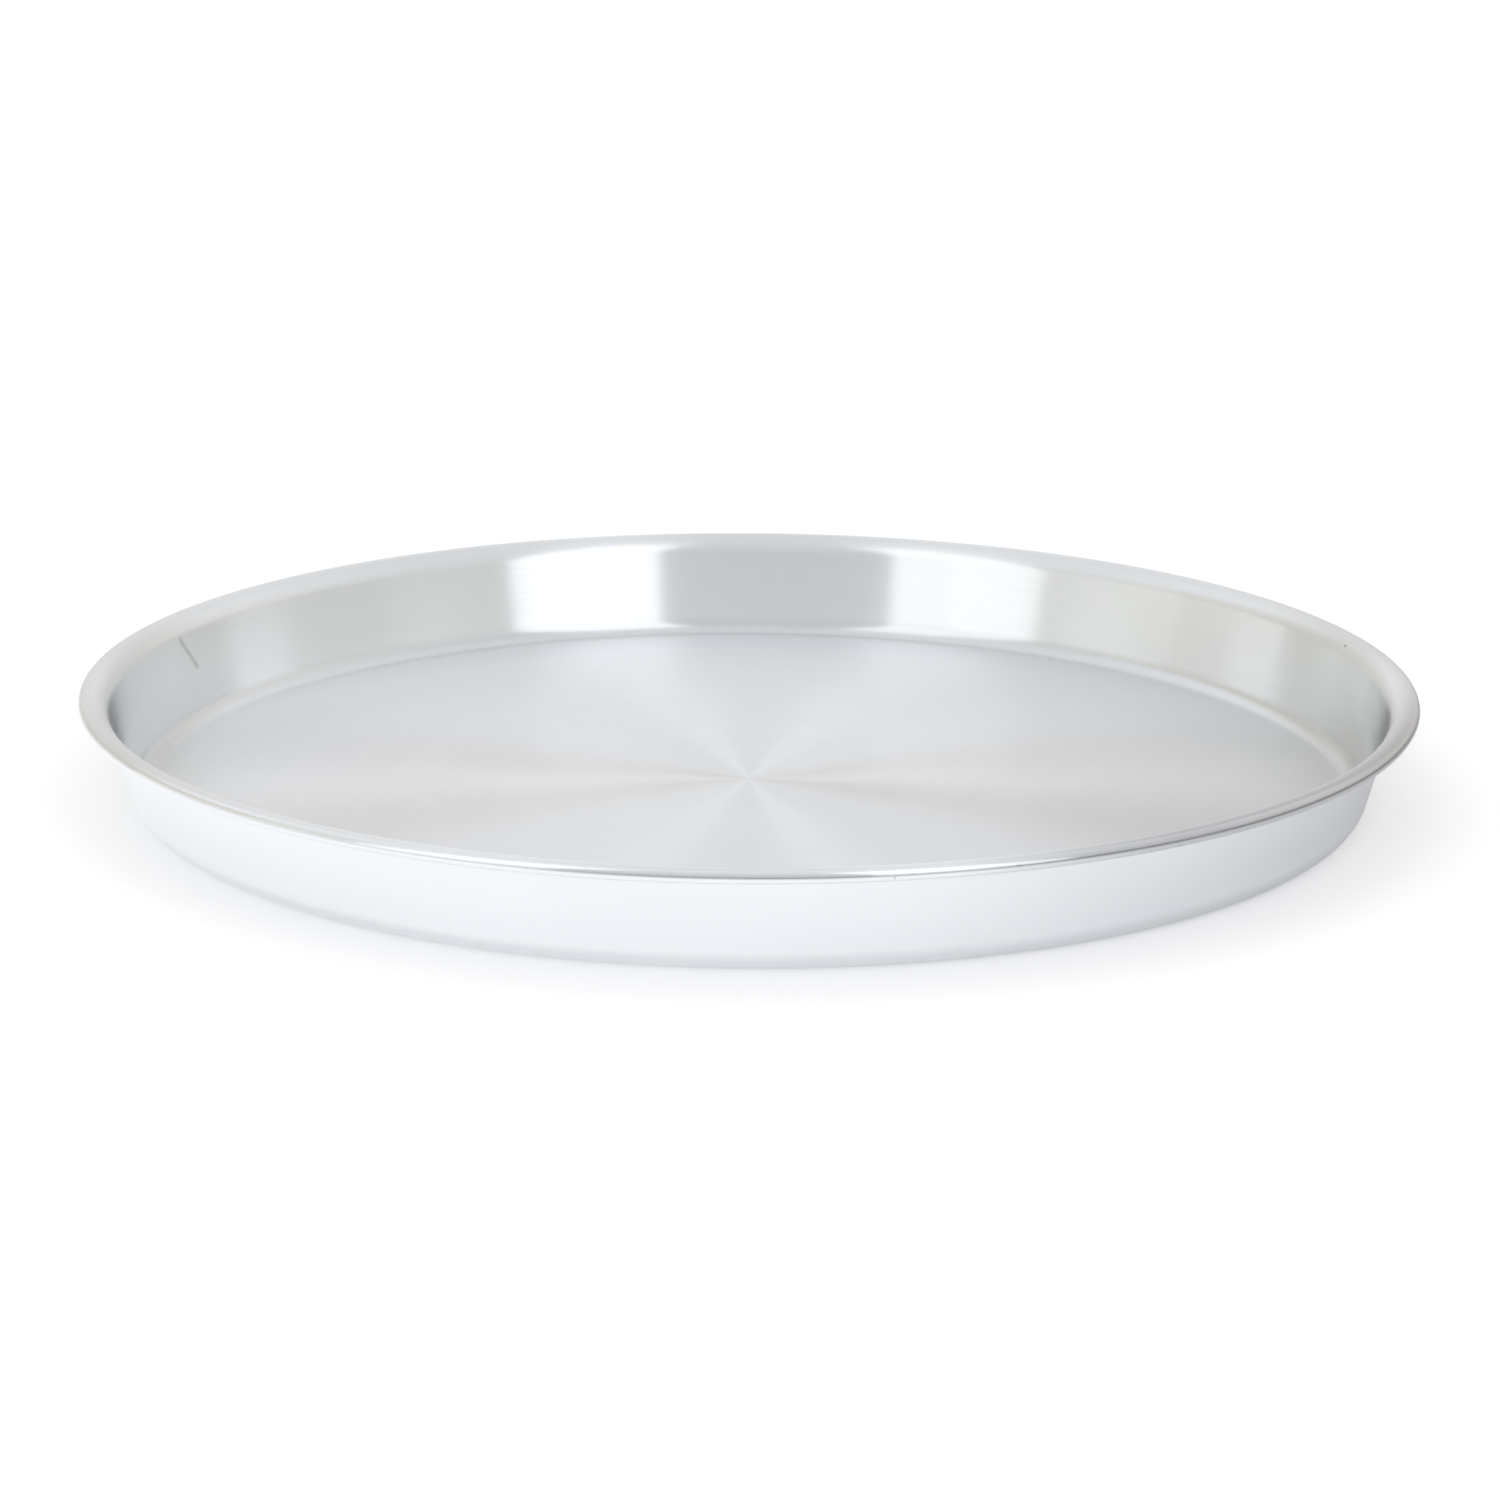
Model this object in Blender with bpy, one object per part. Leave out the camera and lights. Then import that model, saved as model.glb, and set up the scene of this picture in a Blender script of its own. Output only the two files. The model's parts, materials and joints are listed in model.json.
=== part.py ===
"""Round baking tray: one disc of sheet aluminium, pressed and spun into a flat floor, a low
flared wall and a wide rounded lip whose edge is curled under into a bead.

Blender 4.5, metres, +Z up. The tray stands on Z = 0 and is centred on the Z axis."""

import math

import bmesh
import bpy

MM = 0.001

# The sizes that the tray is driven by, in millimetres and degrees.
OUTER_DIAMETER = 380.0
HEIGHT = 31.0
SHEET = 0.8
WALL_FLARE = 15.0  # the wall's lean outwards, from vertical
FLOOR_CORNER = 5.5  # radius of the corner between floor and wall, on the inside
SHOULDER = 6.2  # radius on top, where the wall turns over into the lip
LIP_FLAT = 0.7  # level band between the shoulder and the bead
BEAD_DIAMETER = 3.6
BEAD_TURN = 280.0  # how far round the edge is curled
FACETS = 96  # round the tray

# What follows from them.
OUTER_RADIUS = OUTER_DIAMETER / 2
BEAD_RADIUS = BEAD_DIAMETER / 2
BEAD_CENTRE = (OUTER_RADIUS - BEAD_RADIUS, HEIGHT - BEAD_RADIUS)
SHOULDER_CENTRE = (BEAD_CENTRE[0] - LIP_FLAT, HEIGHT - SHOULDER)
FLARE_SIN = math.sin(math.radians(WALL_FLARE))
FLARE_COS = math.cos(math.radians(WALL_FLARE))
WALL_TOP = (
    SHOULDER_CENTRE[0] - SHOULDER * FLARE_COS,
    SHOULDER_CENTRE[1] + SHOULDER * FLARE_SIN,
)
CORNER_CENTRE_HEIGHT = SHEET + FLOOR_CORNER
WALL_FOOT_HEIGHT = CORNER_CENTRE_HEIGHT - FLOOR_CORNER * FLARE_SIN
WALL_FOOT_RADIUS = WALL_TOP[0] - (WALL_TOP[1] - WALL_FOOT_HEIGHT) * FLARE_SIN / FLARE_COS
FLOOR_RADIUS = WALL_FOOT_RADIUS - FLOOR_CORNER * FLARE_COS
CORNER_CENTRE = (FLOOR_RADIUS, CORNER_CENTRE_HEIGHT)


def arc(centre, radius, start, end, steps):
    """Points (radius, height) along an arc; 0 degrees points outwards and 90 degrees up."""
    points = []
    for step in range(steps + 1):
        angle = math.radians(start + (end - start) * step / steps)
        points.append((centre[0] + radius * math.cos(angle), centre[1] + radius * math.sin(angle)))
    return points


def tray_outline():
    """The sheet's section, from the axis out along its underside and back over its top."""
    wall_angle = 180.0 - WALL_FLARE
    bead_end = 90.0 - BEAD_TURN
    under = [(0.0, 0.0)]
    under += arc(CORNER_CENTRE, FLOOR_CORNER + SHEET, -90.0, -WALL_FLARE, 4)
    under += arc(SHOULDER_CENTRE, SHOULDER - SHEET, wall_angle, 90.0, 4)
    under += arc(BEAD_CENTRE, BEAD_RADIUS - SHEET, 90.0, bead_end, 7)
    over = arc(BEAD_CENTRE, BEAD_RADIUS, bead_end, 90.0, 9)
    over += arc(SHOULDER_CENTRE, SHOULDER, 90.0, wall_angle, 5)
    over += arc(CORNER_CENTRE, FLOOR_CORNER, -WALL_FLARE, -90.0, 4)
    over += [(0.0, SHEET)]
    return under + over


def turned(name, outline, facets):
    """A closed solid: the outline, whose two ends lie on the Z axis, turned round it."""
    mesh = bpy.data.meshes.new(name)
    bm = bmesh.new()
    rings = []
    for radius, height in outline:
        if radius == 0.0:
            rings.append([bm.verts.new((0.0, 0.0, height * MM))] * facets)
            continue
        ring = []
        for facet in range(facets):
            turn = math.tau * facet / facets
            place = (radius * MM * math.cos(turn), radius * MM * math.sin(turn), height * MM)
            ring.append(bm.verts.new(place))
        rings.append(ring)
    for lower, upper in zip(rings, rings[1:]):
        for facet in range(facets):
            after = (facet + 1) % facets
            corners = [lower[facet], lower[after], upper[after], upper[facet]]
            bm.faces.new(list(dict.fromkeys(corners)))
    bmesh.ops.recalc_face_normals(bm, faces=bm.faces)
    bm.to_mesh(mesh)
    bm.free()
    mesh.shade_smooth()
    mesh.set_sharp_from_angle(angle=math.radians(40.0))
    return bpy.data.objects.new(name, mesh)


def aluminium():
    """Plain satin aluminium."""
    material = bpy.data.materials.new("satin_aluminium")
    material.use_nodes = True
    shader = material.node_tree.nodes["Principled BSDF"]
    shader.inputs["Base Color"].default_value = (0.78, 0.79, 0.81, 1.0)
    shader.inputs["Metallic"].default_value = 1.0
    shader.inputs["Roughness"].default_value = 0.3
    return material


for old in list(bpy.data.objects):
    bpy.data.objects.remove(old, do_unlink=True)

tray_body = turned("tray_body", tray_outline(), FACETS)
tray_body.data.materials.append(aluminium())
bpy.context.scene.collection.objects.link(tray_body)
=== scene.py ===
"""A round baking tray spun from one disc of aluminium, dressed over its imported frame, on a pale
studio floor. Metres, +Z up; the tray stands on Z = 0 round the Z axis."""

import json
import math

import bmesh
import bpy
from mathutils import Matrix, Vector

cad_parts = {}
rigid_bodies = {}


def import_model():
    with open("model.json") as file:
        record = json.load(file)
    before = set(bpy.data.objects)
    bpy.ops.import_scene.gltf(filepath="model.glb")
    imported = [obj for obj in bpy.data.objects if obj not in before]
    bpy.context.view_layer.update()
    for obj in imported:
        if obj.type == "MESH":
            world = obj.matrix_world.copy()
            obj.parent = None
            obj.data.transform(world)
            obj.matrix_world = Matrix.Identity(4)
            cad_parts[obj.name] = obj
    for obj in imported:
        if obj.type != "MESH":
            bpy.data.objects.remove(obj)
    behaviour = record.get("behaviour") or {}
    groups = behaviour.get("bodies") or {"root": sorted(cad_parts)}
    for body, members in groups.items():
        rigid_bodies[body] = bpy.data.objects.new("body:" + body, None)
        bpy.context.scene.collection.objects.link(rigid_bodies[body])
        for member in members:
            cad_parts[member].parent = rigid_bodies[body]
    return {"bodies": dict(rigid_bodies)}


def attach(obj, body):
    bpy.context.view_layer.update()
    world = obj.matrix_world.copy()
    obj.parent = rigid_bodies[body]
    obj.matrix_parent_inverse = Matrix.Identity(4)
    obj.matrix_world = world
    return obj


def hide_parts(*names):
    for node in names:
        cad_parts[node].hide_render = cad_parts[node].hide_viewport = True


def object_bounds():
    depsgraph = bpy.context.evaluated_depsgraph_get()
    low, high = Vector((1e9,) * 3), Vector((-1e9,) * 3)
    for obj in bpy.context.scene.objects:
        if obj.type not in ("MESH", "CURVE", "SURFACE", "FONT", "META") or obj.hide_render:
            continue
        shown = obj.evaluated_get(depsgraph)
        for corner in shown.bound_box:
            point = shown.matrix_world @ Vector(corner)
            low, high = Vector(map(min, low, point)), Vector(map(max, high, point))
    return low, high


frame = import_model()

bl_info = {
    "name": "Round Baking Tray",
    "version": (1, 0, 0),
    "blender": (4, 5, 0),
    "location": "View3D > Sidebar > Bakeware",
    "description": "A spun aluminium baking tray with a curled lip, and a pale studio to show it in",
    "category": "Add Mesh",
}

MM = 0.001
CAD_LOW, CAD_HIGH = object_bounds()
BODY = next(iter(frame["bodies"]))
WHITE = "#FFFFFF"

# How the section is divided: its rings across the floor and up the wall, as shares of the way,
# and its steps round the corner and the shoulder, and round the curl.
FLOOR_RINGS = (0.02, 0.1, 0.25, 0.5, 0.75, 0.93, 0.99, 0.997, 1.0)
WALL_RINGS = (0.02, 0.1, 0.5, 0.9, 0.98, 1.0)
BEND_STEPS = 12
CURL_STEPS = 28
SMOOTH_BELOW = math.radians(40.0)

# Marks of use, in mm: from one point to another, how wide, and how much of the speck's colour.
# The first is a scratch on the wall, and the rest are small dents in the lip.
MARKS = (
    ((-170.7, 60.8, 25.4), (-166.6, 65.1, 16.6), 2.8, 0.3),
    ((176.9, 47.7, 29.3), (176.9, 47.7, 29.3), 1.2, 1.0),
    ((35.9, -186.5, 28.7), (35.9, -186.5, 28.7), 0.7, 0.7),
    ((66.5, -178.0, 29.4), (67.3, -177.7, 29.4), 0.5, 0.7),
)

# The lamps, each a panel that stands on edge: its two ends on the floor plan, its bottom and top,
# and the share of its brightness that is left at its second end. The softboxes' ends are read
# from where their reflections begin and end on the tray's back wall.
LAMPS = (
    ("softbox_right", (0.463, -1.347), (1.110, -0.912), 0.03, 3.4, 1.0),
    ("softbox_left", (-0.710, -1.237), (-1.276, -0.677), 0.03, 3.4, 0.8),
    ("backdrop_light", (-0.87, 5.0), (0.52, 5.0), 1.06, 2.33, 1.0),
    ("left_fill", (-4.33, 2.5), (-3.21, -3.83), 0.05, 1.0, 1.0),
)

# The room round the tray by its direction on the plan, where 0 is to the tray's right, 90 behind
# it and -90 at the camera: its tone some 20 degrees up, then its tone down at the horizon.
ROOM = (
    (-180, "#DEDCD3", "#DEDCD3"),
    (-98, "#D6D5D7", "#78777A"),
    (-20, "#E4E2DE", "#848381"),
    (30, "#ECE9E4", "#B0AEAA"),
    (55, "#E4E0DA", "#C4C1BC"),
    (78, "#D8D4D2", "#D0CCCA"),
    (98, "#E4E0DE", "#E4E0DE"),
    (130, "#D5D1C7", "#D5D1C7"),
)
# Between these heights of the unit sphere the horizon gives way to the wall, and that to the
# ceiling, which is palest this way, over the backdrop, and greyest opposite.
WALL_BEGINS = (0.03, 0.2)
CEILING_BEGINS = (0.36, 0.62)
CEILING_PALEST_WAY = (-0.25, 1.0, 0.0)
CEILING_GREYEST = "#D3D3D4"

FLOOR_RADIUS = 6.0
FLOOR_FACETS = 96
# The floor lies a hair under the tray, so that it and the tray's underside aren't in one plane.
FLOOR_GAP = 0.1 * MM
# In mm, as the lens is.
PICTURE_FRAME_WIDTH = 36.0


class TraySizes(bpy.types.PropertyGroup):
    """The sizes that the tray is spun to."""

    outer_radius: bpy.props.FloatProperty(
        name="Outer radius", description="From the axis to the outside of the curled edge",
        default=CAD_HIGH[0], min=0.05, unit="LENGTH")
    height: bpy.props.FloatProperty(
        name="Height", description="From the underside to the top of the lip",
        default=CAD_HIGH[2], min=0.01, unit="LENGTH")
    sheet: bpy.props.FloatProperty(
        name="Sheet", description="Thickness of the aluminium",
        default=0.8 * MM, min=0.3 * MM, precision=4, unit="LENGTH")
    flare: bpy.props.FloatProperty(
        name="Wall flare", description="How far the wall leans outwards from vertical",
        default=math.radians(15.0), min=0.0, max=math.radians(60.0), subtype="ANGLE")
    corner: bpy.props.FloatProperty(
        name="Corner", description="Inside radius where the floor turns up into the wall",
        default=5.5 * MM, min=1.0 * MM, precision=4, unit="LENGTH")
    shoulder: bpy.props.FloatProperty(
        name="Shoulder", description="Radius on top, where the wall turns over into the lip",
        default=6.2 * MM, min=1.0 * MM, precision=4, unit="LENGTH")
    lip_flat: bpy.props.FloatProperty(
        name="Lip flat", description="Width of the level band between shoulder and curled edge",
        default=0.7 * MM, min=0.0, precision=4, unit="LENGTH")
    bead: bpy.props.FloatProperty(
        name="Curled edge", description="Outside diameter of the curl",
        default=3.6 * MM, min=2.0 * MM, precision=4, unit="LENGTH")
    bead_turn: bpy.props.FloatProperty(
        name="Turn of the curl", description="How far round the edge is rolled",
        default=math.radians(280.0), min=0.0, max=math.radians(300.0), subtype="ANGLE")
    facets: bpy.props.IntProperty(
        name="Facets", description="Faces round the tray", default=256, min=24, max=512)


class TrayColours(bpy.types.PropertyGroup):
    """The colours of the metal and of the floor, as sRGB hex values."""

    bright: bpy.props.StringProperty(
        name="Bright metal", description="The paler of the broad rings", default="#F2F5F8")
    dull: bpy.props.StringProperty(
        name="Dull metal", description="The greyer of the broad rings", default="#EEF1F4")
    # Painted dark reflection: a grey line round the curl, where the metal would mirror the dark studio.
    painted_dark_line: bpy.props.StringProperty(
        name="Painted dark line", description="The dark reflection painted in a line round the curl",
        default="#D2D4D8")
    # Painted shade: the right of the lip greyed, as the dark side of the studio would show in it.
    painted_lip_shade: bpy.props.StringProperty(
        name="Painted lip shade", description="The shade painted on the right of the lip",
        default="#CFD1D4")
    corner: bpy.props.StringProperty(
        name="Corner", description="The darker colour where the floor meets the wall",
        default="#E3E6E9")
    # Painted shade: the right of the floor darkened, as the light falls there.
    painted_floor_shade: bpy.props.StringProperty(
        name="Painted floor shade", description="The shade painted on the right of the floor", default="#DFE1E4")
    speck: bpy.props.StringProperty(
        name="Speck", description="Small dents and a scratch from use", default="#6A6C6E")
    floor: bpy.props.StringProperty(
        name="Floor", description="The pale floor under the tray", default="#EDEDEE")
    floor_far: bpy.props.StringProperty(
        name="Far floor", description="The dark that the metal shows past the floor's pale part",
        default="#5A5A5C")


class StudioSettings(bpy.types.PropertyGroup):
    """Where the camera stands and how strong the lamps are. Each lamp goes by its name in LAMPS."""

    lens: bpy.props.FloatProperty(
        name="Lens", description="Focal length on a 36 mm frame", default=103.67, min=20.0)
    distance: bpy.props.FloatProperty(
        name="Distance", description="From the camera to the point that it stands off from",
        default=1.2394, unit="LENGTH")
    stand_off_height: bpy.props.FloatProperty(
        name="Stand-off height", description="How high up the tray's axis that point is",
        default=19.0 * MM, precision=4, unit="LENGTH")
    elevation: bpy.props.FloatProperty(
        name="Elevation", description="How far above level the camera is, seen from that point",
        default=math.radians(15.053), subtype="ANGLE")
    look_down: bpy.props.FloatProperty(
        name="Look down", description="How far below that point the camera looks",
        default=math.radians(0.4328), subtype="ANGLE")
    look_right: bpy.props.FloatProperty(
        name="Look right", description="How far to the right of that point the camera looks",
        default=math.radians(0.0152), subtype="ANGLE")
    lean: bpy.props.FloatProperty(
        name="Lean", description="How far the camera is rolled anticlockwise",
        default=math.radians(0.3615), subtype="ANGLE")
    softbox_right: bpy.props.FloatProperty(
        name="Right softbox", description="Brightness of the lamp right of the camera; 1 is white",
        default=0.6)
    softbox_left: bpy.props.FloatProperty(
        name="Left softbox", description="Brightness of the lamp left of the camera; 1 is white",
        default=0.53)
    backdrop_light: bpy.props.FloatProperty(
        name="Backdrop", description="Extra brightness of the backdrop behind the tray",
        default=0.23)
    left_fill: bpy.props.FloatProperty(
        name="Left fill", description="Brightness of the long low lamp on the left", default=0.22)


def linear(code, alpha=1.0):
    """An sRGB hex value as the linear colour that Blender's sockets take."""
    parts = [int(code[place : place + 2], 16) / 255 for place in (1, 3, 5)]
    parts = [c / 12.92 if c <= 0.04045 else ((c + 0.055) / 1.055) ** 2.4 for c in parts]
    return (*parts, alpha)


def add_node(tree, kind, values=None, links=None, **settings):
    """Adds a node: settings are its own, values fill its sockets and links feed them. A socket is
    named or counted; a link comes from a socket, or from a node's first output in use."""
    node = tree.nodes.new(kind)
    for name, setting in settings.items():
        setattr(node, name, setting)

    def socket(key):
        if isinstance(key, int):
            return node.inputs[key]
        return next(entry for entry in node.inputs if entry.enabled and entry.name == key)

    for key, value in (values or {}).items():
        socket(key).default_value = value
    for key, source in (links or {}).items():
        if isinstance(source, bpy.types.Node):
            source = next(entry for entry in source.outputs if entry.enabled)
        tree.links.new(source, socket(key))
    return node


def arc(centre, radius, start, end, steps):
    """Points (radius, height) along an arc, its first point left out; angles in degrees."""
    points = []
    for step in range(1, steps + 1):
        angle = math.radians(start + (end - start) * step / steps)
        points.append((centre[0] + radius * math.cos(angle), centre[1] + radius * math.sin(angle)))
    return points


def between(first, last, shares):
    """Points on the straight line from first to last, at these shares of it."""
    return [(first[0] + (last[0] - first[0]) * s, first[1] + (last[1] - first[1]) * s) for s in shares]


def sheet_section(sizes):
    """The visible face of the sheet, from near the axis to the end of the curl."""
    flare = math.degrees(sizes.flare)
    sine, cosine = math.sin(sizes.flare), math.cos(sizes.flare)
    bead = sizes.bead / 2
    bead_centre = (sizes.outer_radius - bead, sizes.height - bead)
    shoulder_centre = (bead_centre[0] - sizes.lip_flat, sizes.height - sizes.shoulder)
    wall_top = (shoulder_centre[0] - sizes.shoulder * cosine, shoulder_centre[1] + sizes.shoulder * sine)
    foot_height = sizes.sheet + sizes.corner * (1 - sine)
    wall_foot = (wall_top[0] - (wall_top[1] - foot_height) * sine / cosine, foot_height)
    floor_edge = (wall_foot[0] - sizes.corner * cosine, sizes.sheet)
    corner_centre = (floor_edge[0], sizes.sheet + sizes.corner)

    section = between((0.0, sizes.sheet), floor_edge, FLOOR_RINGS)
    section += arc(corner_centre, sizes.corner, -90.0, -flare, BEND_STEPS)
    section += between(wall_foot, wall_top, WALL_RINGS)
    section += arc(shoulder_centre, sizes.shoulder, 180.0 - flare, 90.0, BEND_STEPS)
    section += [(bead_centre[0], sizes.height)]
    section += arc(bead_centre, bead, 90.0, 90.0 - math.degrees(sizes.bead_turn), CURL_STEPS)
    return section


def draw_out(section):
    """In edit mode, pulls the open edge of a round face out along the section, ring by ring."""
    radius, height = section[0]
    for to_radius, to_height in section[1:]:
        bpy.ops.mesh.extrude_edges_move(TRANSFORM_OT_translate={"value": (0.0, 0.0, to_height - height)})
        growth = to_radius / radius
        bpy.ops.transform.resize(value=(growth, growth, 1.0), center_override=(0.0, 0.0, to_height))
        radius, height = to_radius, to_height


def turned_aluminium(sizes, colours):
    """Aluminium, turned on a lathe and left satin: the tool's fine rings run round the axis, so a
    lamp is smeared across them and stays sharp along them, and the floor shows a star of light."""
    rim, top = sizes.outer_radius, sizes.height
    corner_top = sizes.sheet + sizes.corner
    material = bpy.data.materials.new("turned_satin_aluminium")
    material.use_nodes = True
    tree = material.node_tree
    tree.nodes.clear()
    place = add_node(tree, "ShaderNodeTexCoord").outputs["Object"]
    split = add_node(tree, "ShaderNodeSeparateXYZ", links={"Vector": place})
    level = split.outputs["Z"]
    flat = add_node(tree, "ShaderNodeCombineXYZ", links={"X": split.outputs["X"], "Y": split.outputs["Y"]})
    radius = add_node(tree, "ShaderNodeVectorMath", links={0: flat}, operation="LENGTH")
    heading = add_node(tree, "ShaderNodeVectorMath", links={0: flat}, operation="NORMALIZE")
    track = add_node(tree, "ShaderNodeMath", links={0: radius, 1: level}, operation="ADD")

    def rings(apart, breaks, detail):
        """Noise that runs round the axis: rings this far apart, with more or fewer breaks."""
        along = add_node(
            tree, "ShaderNodeVectorMath", {1: (breaks, breaks, 0.0)}, {0: heading}, operation="MULTIPLY")
        across = add_node(tree, "ShaderNodeMath", {1: 1 / apart}, {0: track}, operation="MULTIPLY")
        up = add_node(tree, "ShaderNodeCombineXYZ", links={"Z": across})
        where = add_node(tree, "ShaderNodeVectorMath", links={0: along, 1: up}, operation="ADD")
        return add_node(
            tree, "ShaderNodeTexNoise", {"Scale": 1.0, "Detail": detail, "Roughness": 0.6},
            {"Vector": where})

    # The tool's marks, 0.45 mm apart: about three times as coarse as the real ones, to show at all.
    marks = rings(apart=0.45 * MM, breaks=7.0, detail=3.0)
    # Broad rings about a centimetre wide, where the tool pressed harder or lighter.
    bands = rings(apart=9.0 * MM, breaks=0.6, detail=2.0)

    # Burnish is nothing on the floor and full on the wall and the outside of the curl. The lip's
    # top loses all of it and a little more.
    floor_rough, wall_rough, lip_loss, unevenness = 0.34, 0.2, 1.1, 0.02
    on_wall = add_node(
        tree, "ShaderNodeMapRange", {"From Min": rim - 19.5 * MM, "From Max": rim - 16.5 * MM},
        {"Value": radius})
    on_lip = add_node(
        tree, "ShaderNodeMapRange", {"From Min": top - 4.0 * MM, "From Max": top - 0.2 * MM},
        {"Value": level})
    short_of_curl = add_node(
        tree, "ShaderNodeMapRange",
        {"From Min": rim - 1.6 * MM, "From Max": rim - 0.9 * MM, "To Min": lip_loss, "To Max": 0.0},
        {"Value": radius})
    lip_top = add_node(tree, "ShaderNodeMath", links={0: on_lip, 1: short_of_curl}, operation="MULTIPLY")
    burnish = add_node(tree, "ShaderNodeMath", links={0: on_wall, 1: lip_top}, operation="SUBTRACT")
    satin = add_node(
        tree, "ShaderNodeMapRange", {"To Min": floor_rough, "To Max": wall_rough}, {"Value": burnish},
        clamp=False)
    # Most of the noise lies between 0.3 and 0.7.
    uneven = add_node(
        tree, "ShaderNodeMapRange",
        {"From Min": 0.3, "From Max": 0.7, "To Min": -unevenness, "To Max": unevenness}, {"Value": marks})
    rough = add_node(tree, "ShaderNodeMath", links={0: satin, 1: uneven}, operation="ADD")
    colour = add_node(
        tree, "ShaderNodeMix", {"A": linear(colours.dull), "B": linear(colours.bright)}, {"Factor": bands},
        data_type="RGBA")

    # Where each darker tone lies is a product of shares. A share is a source, the range that it is
    # read over, and what it is at the two ends of that range.
    rising, falling = (0.0, 1.0), (1.0, 0.0)
    # The dark side of the studio is this way on the plan. The painted shade begins and is full at these
    # cosines of the angle off it.
    dark_side_way, dark_side_spread = (0.8, -0.6, 0.0), (0.8, 0.95)
    toward_dark_side = add_node(tree, "ShaderNodeVectorMath", {1: dark_side_way}, {0: heading}, operation="DOT_PRODUCT")
    dark_line_level = top - 1.55 * MM
    off_line = add_node(tree, "ShaderNodeMath", {1: dark_line_level}, {0: level}, operation="SUBTRACT")
    off_line = add_node(tree, "ShaderNodeMath", links={0: off_line}, operation="ABSOLUTE")
    patches = rings(apart=0.8 * MM, breaks=60.0, detail=3.0)
    floor_shade_way = (1.0, 0.3, 0.0)
    rightward = add_node(tree, "ShaderNodeVectorMath", {1: floor_shade_way}, {0: place}, operation="DOT_PRODUCT")
    darker = (
        # Painted shade: the lip is greyed on its right, where the dark side of the studio would show in it.
        (colours.painted_lip_shade, (
            (toward_dark_side, dark_side_spread, rising),
            (radius, (rim - 6.5 * MM, rim - 2.0 * MM), rising))),
        # Painted dark reflection: a line round the outside of the curl, a millimetre tall and patchy,
        # greyest towards the dark side.
        (colours.painted_dark_line, (
            (toward_dark_side, dark_side_spread, (0.1, 1.0)),
            (radius, (rim - 1.0 * MM, rim - 0.9 * MM), rising),
            (off_line, (0.25 * MM, 0.8 * MM), falling),
            (patches, (0.35, 0.6), (0.4, 1.0)))),
        # Painted shade: the right of the floor is darkened.
        (colours.painted_floor_shade, (
            (rightward, (rim - 140.0 * MM, rim - 5.0 * MM), rising),
            (on_wall, (0.0, 1.0), falling))),
        # The corner where the floor meets the wall is a little darker.
        (colours.corner, (
            (on_wall, (0.0, 1.0), rising),
            (level, (corner_top - 2.8 * MM, corner_top - 0.3 * MM), falling))),
    )
    for tone, shares in darker:
        where = None
        for source, (low, high), (first, last) in shares:
            share = add_node(
                tree, "ShaderNodeMapRange",
                {"From Min": low, "From Max": high, "To Min": first, "To Max": last}, {"Value": source})
            if where is not None:
                share = add_node(tree, "ShaderNodeMath", links={0: where, 1: share}, operation="MULTIPLY")
            where = share
        colour = add_node(
            tree, "ShaderNodeMix", {"B": linear(tone)}, {"Factor": where, "A": colour}, data_type="RGBA")

    # A mark keeps its full depth over the middle quarter of its width and fades out to its edges.
    # A dent ends where it starts, so the length that divides is kept from being nothing.
    for first, last, width, depth in MARKS:
        start, along = Vector(first) * MM, (Vector(last) - Vector(first)) * MM
        reach = along / max(along.length_squared, MM ** 2)
        off_start = add_node(tree, "ShaderNodeVectorMath", {1: start}, {0: place}, operation="SUBTRACT")
        share = add_node(tree, "ShaderNodeVectorMath", {1: reach}, {0: off_start}, operation="DOT_PRODUCT")
        held = add_node(tree, "ShaderNodeClamp", links={"Value": share})
        nearest = add_node(tree, "ShaderNodeVectorMath", {0: along}, {3: held}, operation="SCALE")
        gap = add_node(tree, "ShaderNodeVectorMath", links={0: off_start, 1: nearest}, operation="DISTANCE")
        here = add_node(
            tree, "ShaderNodeMapRange",
            {"From Min": width * MM / 8, "From Max": width * MM / 2, "To Min": depth, "To Max": 0.0},
            {"Value": gap})
        colour = add_node(
            tree, "ShaderNodeMix", {"B": linear(colours.speck)}, {"Factor": here, "A": colour},
            data_type="RGBA")

    bump = add_node(tree, "ShaderNodeBump", {"Strength": 0.05, "Distance": 0.01 * MM}, {"Height": marks})
    round_axis = add_node(tree, "ShaderNodeTangent", direction_type="RADIAL", axis="Z")
    shader = add_node(
        tree, "ShaderNodeBsdfPrincipled",
        {"Metallic": 1.0, "Anisotropic": 1.0, "Anisotropic Rotation": 0.25},
        {"Base Color": colour, "Roughness": rough, "Normal": bump, "Tangent": round_axis})
    add_node(tree, "ShaderNodeOutputMaterial", links={"Surface": shader})
    return material


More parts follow.
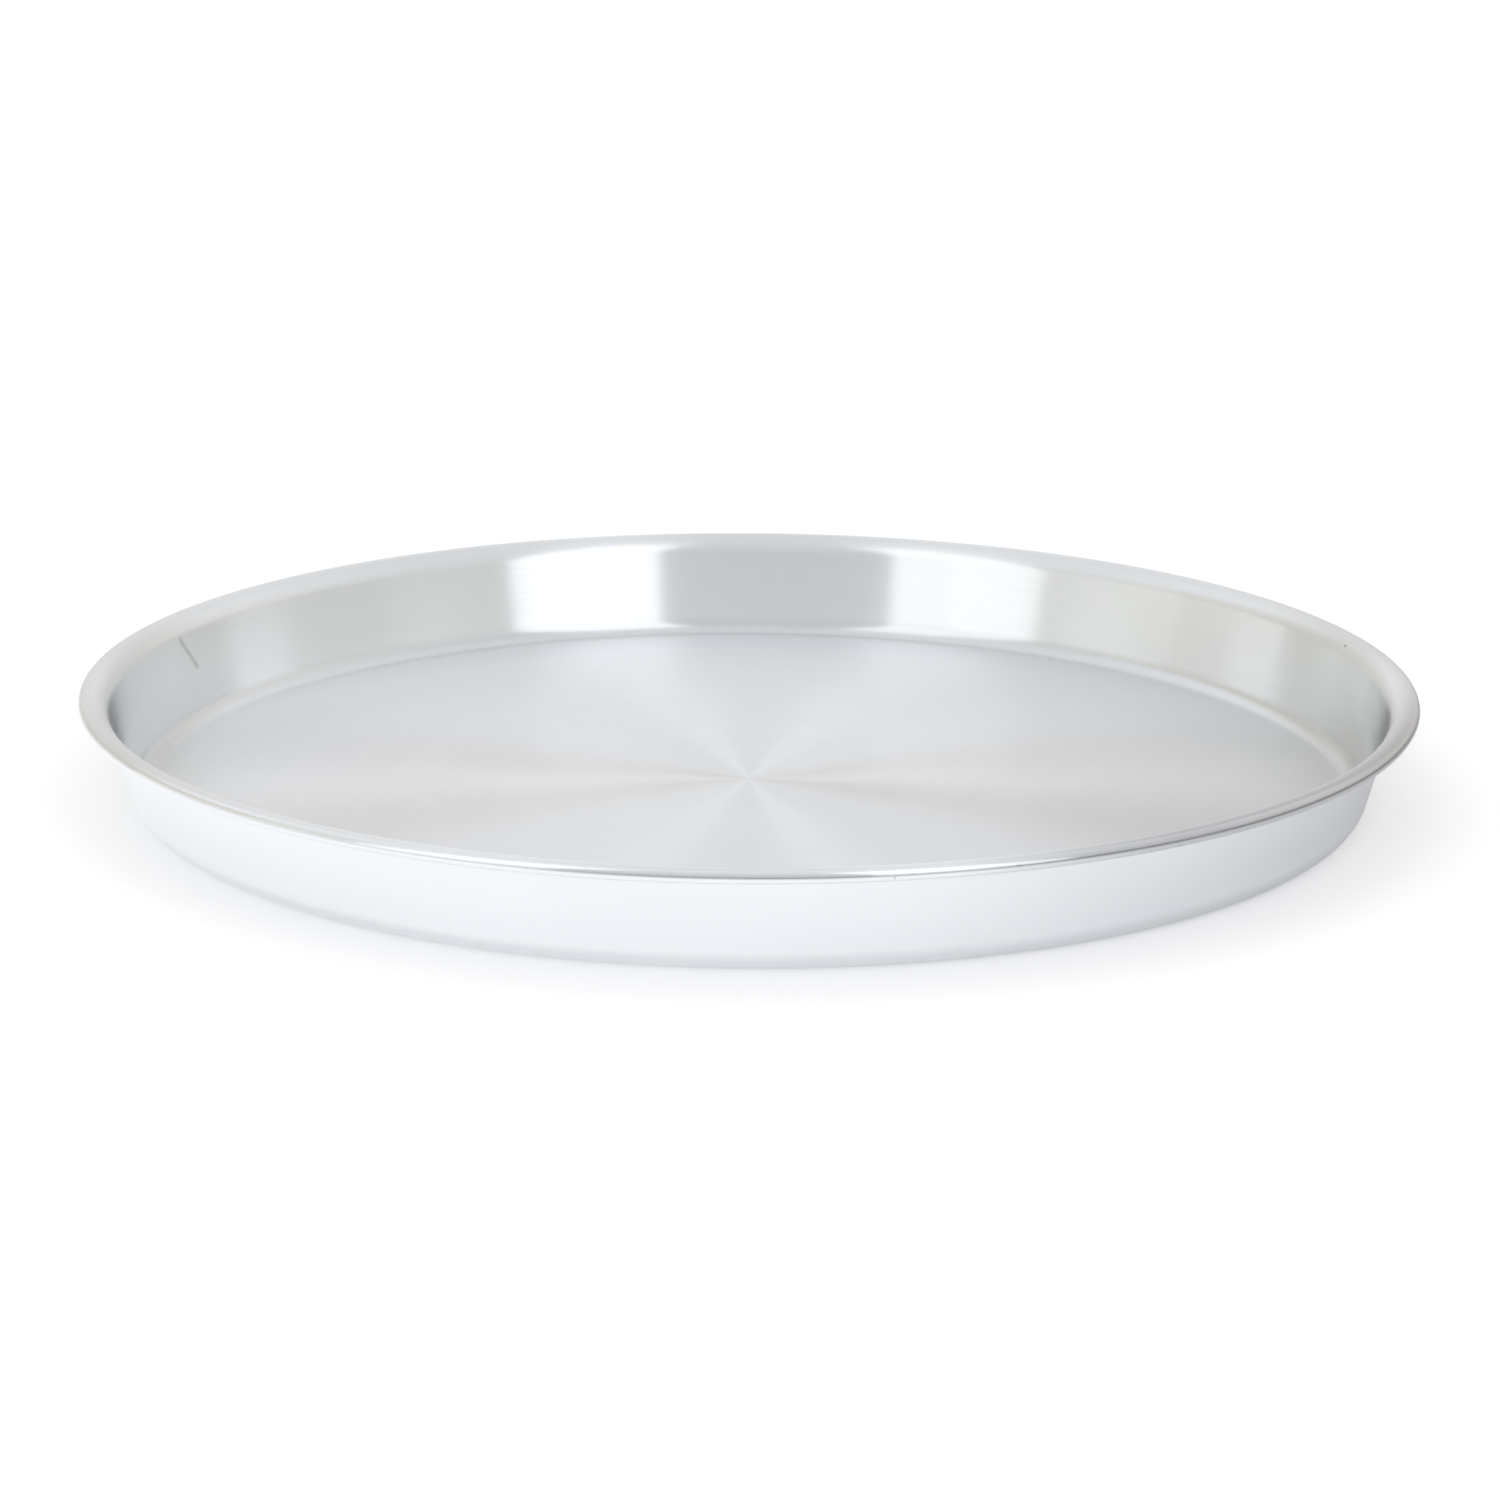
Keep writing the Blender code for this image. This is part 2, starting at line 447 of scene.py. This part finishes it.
class BAKEWARE_OT_make_tray(bpy.types.Operator):
    """Spins the tray out of one disc: floor, corner, wall, shoulder, lip and curled edge"""

    bl_idname = "bakeware.make_tray"
    bl_label = "Make Tray"
    bl_options = {"REGISTER", "UNDO"}

    def execute(self, context):
        sizes = context.scene.tray_sizes
        section = sheet_section(sizes)
        bpy.ops.object.select_all(action="DESELECT")
        first_radius, floor_height = section[0]
        bpy.ops.mesh.primitive_circle_add(
            vertices=sizes.facets, radius=first_radius, fill_type="TRIFAN",
            location=(0.0, 0.0, floor_height))
        tray = context.object
        tray.name = tray.data.name = "tray_shell"
        bpy.ops.object.transform_apply(location=True, rotation=True, scale=True)

        bpy.ops.object.mode_set(mode="EDIT")
        bpy.ops.mesh.select_mode(type="EDGE")
        bpy.ops.mesh.select_all(action="DESELECT")
        bm = bmesh.from_edit_mesh(tray.data)
        for edge in bm.edges:
            edge.select_set(edge.is_boundary)
        bmesh.update_edit_mesh(tray.data)
        draw_out(section)
        # The inside of the tray has to face up, because the sheet's thickness goes behind it.
        bm = bmesh.from_edit_mesh(tray.data)
        bm.faces.ensure_lookup_table()
        if bm.faces[0].normal.z < 0:
            bpy.ops.mesh.select_all(action="SELECT")
            bpy.ops.mesh.flip_normals()
        bpy.ops.object.mode_set(mode="OBJECT")

        wall = tray.modifiers.new("sheet", "SOLIDIFY")
        wall.thickness = sizes.sheet
        wall.offset = -1.0
        wall.use_even_offset = True
        bpy.ops.object.modifier_apply(modifier=wall.name)
        bpy.ops.object.shade_smooth_by_angle(angle=SMOOTH_BELOW)

        tray.data.materials.append(turned_aluminium(sizes, context.scene.tray_colours))
        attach(tray, BODY)
        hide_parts("tray_body")
        return {"FINISHED"}


def softbox(name, first_end, second_end, bottom, top, left_over, brightness):
    """A soft panel standing between two ends on the floor plan, facing the tray. Its brightness
    fades towards the second end, where this share of it is left over."""
    middle = Vector((*((Vector(first_end) + Vector(second_end)) / 2), (bottom + top) / 2))
    along = Vector((second_end[0] - first_end[0], second_end[1] - first_end[1], 0.0))
    facing = along.cross(Vector((0.0, 0.0, 1.0)))
    if facing.dot(middle) > 0:
        facing.negate()
    turn = facing.to_track_quat("-Z", "Y")
    bpy.ops.object.light_add(type="AREA", location=middle, rotation=turn.to_euler())
    lamp = bpy.context.object
    lamp.name = name
    lamp.data.shape = "RECTANGLE"
    lamp.data.size = along.length
    lamp.data.size_y = top - bottom
    # An area lamp's watts are spread over its area and over a half-sphere's worth of directions.
    lamp.data.energy = brightness * math.pi * along.length * (top - bottom)
    lamp.visible_camera = False
    if left_over != 1.0:
        lamp.data.use_nodes = True
        tree = lamp.data.node_tree
        tree.nodes.clear()
        across = add_node(tree, "ShaderNodeNewGeometry").outputs["Parametric"]
        share = add_node(tree, "ShaderNodeSeparateXYZ", links={"Vector": across}).outputs["X"]
        across_runs_along = (turn @ Vector((1.0, 0.0, 0.0))).dot(along) > 0
        first, last = (1.0, left_over) if across_runs_along else (left_over, 1.0)
        dimmed = add_node(tree, "ShaderNodeMapRange", {"To Min": first, "To Max": last}, {"Value": share})
        light = add_node(tree, "ShaderNodeEmission", links={"Strength": dimmed})
        add_node(tree, "ShaderNodeOutputLight", links={"Surface": light})


def studio_world(scene):
    """A pale room, shown in the metal: greyer low down behind the camera and on the right, its
    ceiling palest over the backdrop. The camera itself sees white."""
    world = bpy.data.worlds.new("studio")
    scene.world = world
    world.use_nodes = True
    tree = world.node_tree
    tree.nodes.clear()
    heading = add_node(tree, "ShaderNodeTexCoord").outputs["Generated"]
    split = add_node(tree, "ShaderNodeSeparateXYZ", links={"Vector": heading})
    turn = add_node(tree, "ShaderNodeTexGradient", links={"Vector": heading}, gradient_type="RADIAL")

    directions, wall_tones, horizon_tones = zip(*ROOM)
    ramps = []
    for tones in (horizon_tones, wall_tones):
        ramp = add_node(tree, "ShaderNodeValToRGB", links={"Fac": turn.outputs["Fac"]})
        ramp.color_ramp.interpolation = "EASE"
        stops = ramp.color_ramp.elements
        for count, (direction, tone) in enumerate(zip(directions, tones)):
            position = direction / 360 + 0.5
            stop = stops[count] if count < len(stops) else stops.new(position)
            stop.position = position
            stop.color = linear(tone)
        ramps.append(ramp)
    room, walls = ramps

    palest = add_node(
        tree, "ShaderNodeVectorMath", {1: CEILING_PALEST_WAY}, {0: heading}, operation="DOT_PRODUCT")
    palest = add_node(tree, "ShaderNodeMapRange", {"From Min": -1.0, "From Max": 1.0}, {"Value": palest})
    ceiling = add_node(
        tree, "ShaderNodeMix", {"A": linear(CEILING_GREYEST), "B": linear(WHITE)}, {"Factor": palest},
        data_type="RGBA")
    for (low, high), upper in ((WALL_BEGINS, walls), (CEILING_BEGINS, ceiling)):
        rise = add_node(
            tree, "ShaderNodeMapRange", {"From Min": low, "From Max": high}, {"Value": split.outputs["Z"]},
            interpolation_type="SMOOTHSTEP")
        room = add_node(
            tree, "ShaderNodeMix", links={"Factor": rise, "A": room, "B": upper}, data_type="RGBA")
    light = add_node(tree, "ShaderNodeBackground", {"Strength": 1.0}, {"Color": room})
    white = add_node(tree, "ShaderNodeBackground", {"Color": linear(WHITE), "Strength": 1.0})
    seen = add_node(tree, "ShaderNodeLightPath").outputs["Is Camera Ray"]
    shown = add_node(tree, "ShaderNodeMixShader", links={0: seen, 1: light, 2: white})
    add_node(tree, "ShaderNodeOutputWorld", links={"Surface": shown})


def floor_paint(colours):
    """Matt white card. A little light of its own, for the camera and in reflections, lifts it to
    the white of the background and leaves the tray's shadow on it."""
    material = bpy.data.materials.new("matt_white_card")
    material.use_nodes = True
    tree = material.node_tree
    tree.nodes.clear()
    place = add_node(tree, "ShaderNodeTexCoord").outputs["Object"]
    path = add_node(tree, "ShaderNodeLightPath")
    mirrored, seen = path.outputs["Is Glossy Ray"], path.outputs["Is Camera Ray"]

    # In the metal the card glows, and by the metre more so to the left and towards the camera.
    glow_in_middle, glow_growth, most_glow = 0.19, (-0.96, -1.1, 0.0), 0.4
    growth = add_node(tree, "ShaderNodeVectorMath", {1: glow_growth}, {0: place}, operation="DOT_PRODUCT")
    growth = add_node(tree, "ShaderNodeMath", {1: glow_in_middle}, {0: growth}, operation="ADD")
    pale = add_node(tree, "ShaderNodeClamp", {"Min": 0.0, "Max": most_glow}, {"Value": growth})

    # Further out it shows the dark of the studio, by the metre more so to the right and in front.
    pale_to, dark_from = 0.235, 0.3
    dark_in_middle, dark_growth = 0.5, (0.78, -0.66, 0.0)
    away = add_node(tree, "ShaderNodeVectorMath", links={0: place}, operation="LENGTH")
    beyond = add_node(
        tree, "ShaderNodeMapRange", {"From Min": pale_to, "From Max": dark_from}, {"Value": away})
    depth = add_node(tree, "ShaderNodeVectorMath", {1: dark_growth}, {0: place}, operation="DOT_PRODUCT")
    depth = add_node(
        tree, "ShaderNodeMath", {1: dark_in_middle}, {0: depth}, operation="ADD", use_clamp=True)
    dark = add_node(tree, "ShaderNodeMath", links={0: beyond, 1: depth}, operation="MULTIPLY")
    lit = add_node(tree, "ShaderNodeMath", {0: 1.0}, {1: dark}, operation="SUBTRACT")

    glow = add_node(tree, "ShaderNodeMath", links={0: pale, 1: lit}, operation="MULTIPLY")
    glow = add_node(tree, "ShaderNodeMath", links={0: glow, 1: mirrored}, operation="MULTIPLY")
    dark = add_node(tree, "ShaderNodeMath", links={0: dark, 1: mirrored}, operation="MULTIPLY")
    tone = add_node(
        tree, "ShaderNodeMix", {"A": linear(colours.floor), "B": linear(colours.floor_far)},
        {"Factor": dark}, data_type="RGBA")
    lift_to_white = 0.33
    lift = add_node(tree, "ShaderNodeMath", {1: lift_to_white}, {0: seen}, operation="MULTIPLY")
    glow = add_node(tree, "ShaderNodeMath", links={0: glow, 1: lift}, operation="ADD")
    card = add_node(tree, "ShaderNodeBsdfDiffuse", links={"Color": tone})
    light = add_node(tree, "ShaderNodeEmission", {"Color": linear(WHITE)}, {"Strength": glow})
    both = add_node(tree, "ShaderNodeAddShader", links={0: card, 1: light})
    add_node(tree, "ShaderNodeOutputMaterial", links={"Surface": both})
    return material


class BAKEWARE_OT_make_studio(bpy.types.Operator):
    """Lays the pale floor, stands the lamps round the tray and places the camera"""

    bl_idname = "bakeware.make_studio"
    bl_label = "Make Studio"
    bl_options = {"REGISTER", "UNDO"}

    def execute(self, context):
        scene, settings = context.scene, context.scene.studio_settings
        bpy.ops.object.select_all(action="DESELECT")
        bpy.ops.mesh.primitive_circle_add(
            vertices=FLOOR_FACETS, radius=FLOOR_RADIUS, fill_type="NGON", location=(0.0, 0.0, -FLOOR_GAP))
        floor = context.object
        floor.name = floor.data.name = "studio_floor"
        floor.data.materials.append(floor_paint(scene.tray_colours))

        for name, *panel in LAMPS:
            softbox(name, *panel, brightness=getattr(settings, name))
        studio_world(scene)

        back = Vector((0.0, -math.cos(settings.elevation), math.sin(settings.elevation)))
        stand = back * settings.distance + Vector((0.0, 0.0, settings.stand_off_height))
        upright = math.radians(90.0)
        yaw = Matrix.Rotation(-settings.look_right, 4, "Z")
        pitch = Matrix.Rotation(upright - settings.look_down - settings.elevation, 4, "X")
        roll = Matrix.Rotation(settings.lean, 4, "Z")
        turn = (yaw @ pitch @ roll).to_euler()
        bpy.ops.object.camera_add(location=stand, rotation=turn)
        camera = context.object
        camera.name = "studio_camera"
        camera.data.lens = settings.lens
        camera.data.sensor_width = PICTURE_FRAME_WIDTH
        scene.camera = camera
        scene.view_settings.view_transform = "Standard"
        return {"FINISHED"}


class BAKEWARE_PT_tray(bpy.types.Panel):
    """The tray's sizes and colours, and the buttons that make it"""

    bl_idname = "BAKEWARE_PT_tray"
    bl_label = "Baking Tray"
    bl_space_type = "VIEW_3D"
    bl_region_type = "UI"
    bl_category = "Bakeware"

    def draw(self, context):
        scene = context.scene
        for title, group in (("Tray", scene.tray_sizes), ("Colours", scene.tray_colours),
                             ("Studio", scene.studio_settings)):
            box = self.layout.box()
            box.label(text=title)
            for name in group.bl_rna.properties.keys():
                if name not in ("rna_type", "name"):
                    box.prop(group, name)
        self.layout.operator(BAKEWARE_OT_make_tray.bl_idname)
        self.layout.operator(BAKEWARE_OT_make_studio.bl_idname)


CLASSES = (
    TraySizes,
    TrayColours,
    StudioSettings,
    BAKEWARE_OT_make_tray,
    BAKEWARE_OT_make_studio,
    BAKEWARE_PT_tray,
)


def register():
    for kind in CLASSES:
        bpy.utils.register_class(kind)
    bpy.types.Scene.tray_sizes = bpy.props.PointerProperty(type=TraySizes)
    bpy.types.Scene.tray_colours = bpy.props.PointerProperty(type=TrayColours)
    bpy.types.Scene.studio_settings = bpy.props.PointerProperty(type=StudioSettings)


def unregister():
    del bpy.types.Scene.studio_settings
    del bpy.types.Scene.tray_colours
    del bpy.types.Scene.tray_sizes
    for kind in reversed(CLASSES):
        bpy.utils.unregister_class(kind)


def main():
    register()
    bpy.ops.bakeware.make_tray()
    bpy.ops.bakeware.make_studio()


if __name__ == "__main__":
    main()
